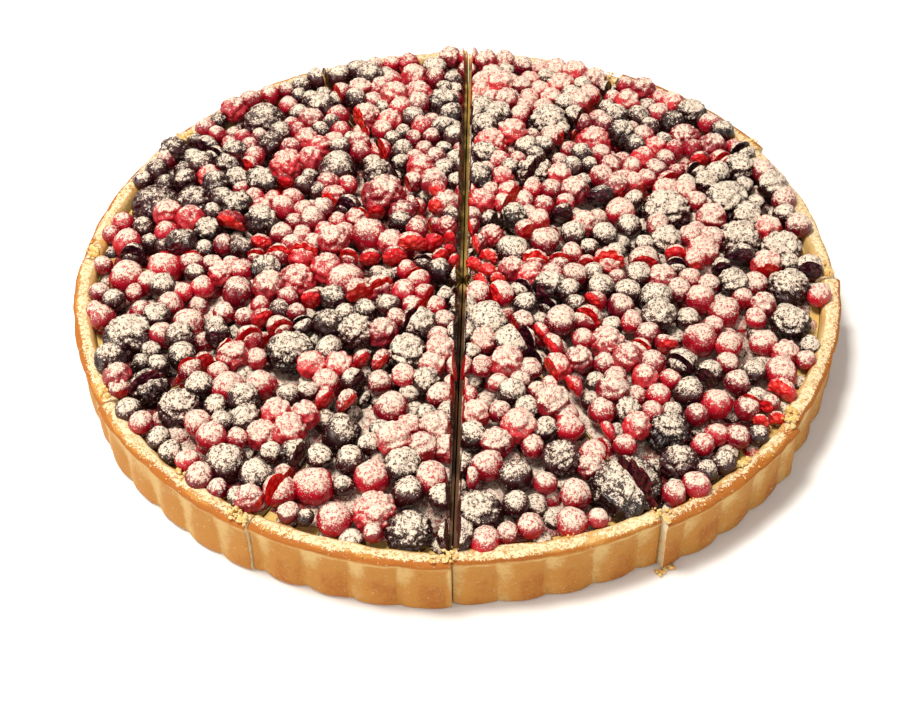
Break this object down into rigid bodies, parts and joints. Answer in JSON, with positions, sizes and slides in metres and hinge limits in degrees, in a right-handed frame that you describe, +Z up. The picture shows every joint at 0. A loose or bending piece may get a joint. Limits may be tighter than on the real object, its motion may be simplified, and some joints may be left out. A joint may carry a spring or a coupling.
{
  "type": "berry tart",
  "caption": "Round fluted shortcrust tart filled with cream, heaped with sugar-dusted mixed berries and cut into unequal slices that stand together.",
  "frame": {"origin": "middle of the underside of the base, on the surface the tart rests on", "axes": "+Z up out of the filling; -Y towards the front edge; the cut that runs right across the tart lies near the Y axis"},
  "size_m": [0.2799, 0.2797, 0.0342],
  "materials": {
    "pastry": "matte",
    "cream": "satin",
    "mixed_berries": "satin",
    "bramble": "satin"
  },
  "bodies": {
    "root": {"crust_01": "pastry", "cream_01": "cream", "berries_01": "mixed_berries", "crust_02": "pastry", "cream_02": "cream", "berries_02": "mixed_berries", "bramble_01": "bramble", "crust_03": "pastry", "cream_03": "cream", "berries_03": "mixed_berries", "bramble_02": "bramble", "bramble_03": "bramble", "crust_04": "pastry", "cream_04": "cream", "berries_04": "mixed_berries", "bramble_04": "bramble", "bramble_05": "bramble", "crust_05": "pastry", "cream_05": "cream", "berries_05": "mixed_berries", "bramble_06": "bramble", "bramble_07": "bramble", "bramble_08": "bramble", "crust_06": "pastry", "cream_06": "cream", "berries_06": "mixed_berries", "crust_07": "pastry", "cream_07": "cream", "berries_07": "mixed_berries", "bramble_09": "bramble", "bramble_10": "bramble", "crust_08": "pastry", "cream_08": "cream", "berries_08": "mixed_berries", "bramble_11": "bramble", "bramble_12": "bramble", "crust_09": "pastry", "cream_09": "cream", "berries_09": "mixed_berries", "bramble_13": "bramble", "crust_10": "pastry", "cream_10": "cream", "berries_10": "mixed_berries", "bramble_14": "bramble", "bramble_15": "bramble", "bramble_16": "bramble", "bramble_17": "bramble", "crust_11": "pastry", "cream_11": "cream", "berries_11": "mixed_berries", "crust_12": "pastry", "cream_12": "cream", "berries_12": "mixed_berries", "bramble_18": "bramble"}
  },
  "joints": []
}
